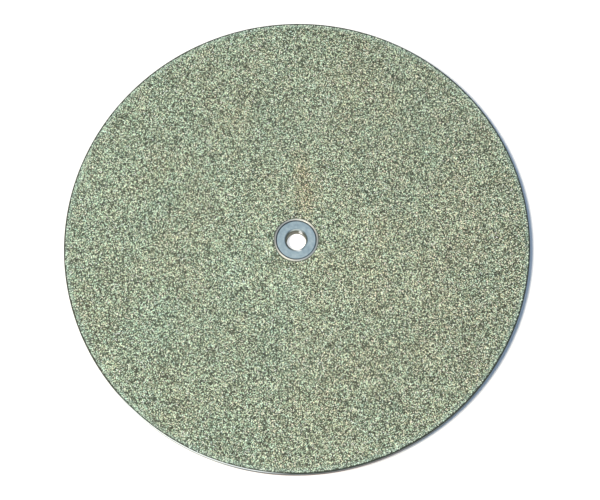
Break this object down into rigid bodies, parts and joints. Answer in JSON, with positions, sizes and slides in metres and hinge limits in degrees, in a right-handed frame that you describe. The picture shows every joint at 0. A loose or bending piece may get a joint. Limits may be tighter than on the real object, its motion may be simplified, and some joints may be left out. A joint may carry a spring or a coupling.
{
  "type": "diamond grinding wheel",
  "caption": "Flat round metal wheel whose front face is covered in nickel-plated diamond grit, a bare rim and back, and a removable reducing bush with a plain arbor bore.",
  "frame": {"origin": "on the wheel's axis, at the flat back face", "axes": "+Z along the wheel's axis towards the diamond face; X and Y lie in the back face and are equal, because the wheel is round"},
  "size_m": [0.3048, 0.3048, 0.0101],
  "materials": {
    "steel": "turned, bare, light oil film",
    "nickel": "matte electroplated nickel",
    "diamond": "sparkling crystals, grey-green to yellow",
    "zinc_plate": "blue bright zinc plate over turned steel"
  },
  "bodies": {
    "wheel": {"core_disc": "steel", "nickel_bond": "nickel", "diamond_grit": "diamond"},
    "bush": {"arbor_bush": "zinc_plate"}
  },
  "joints": [
    {"name": "bush_push_out", "type": "slide", "parent": "wheel", "child": "bush", "axis": [0, 0, 1], "range_m": [0, 0.01]}
  ]
}
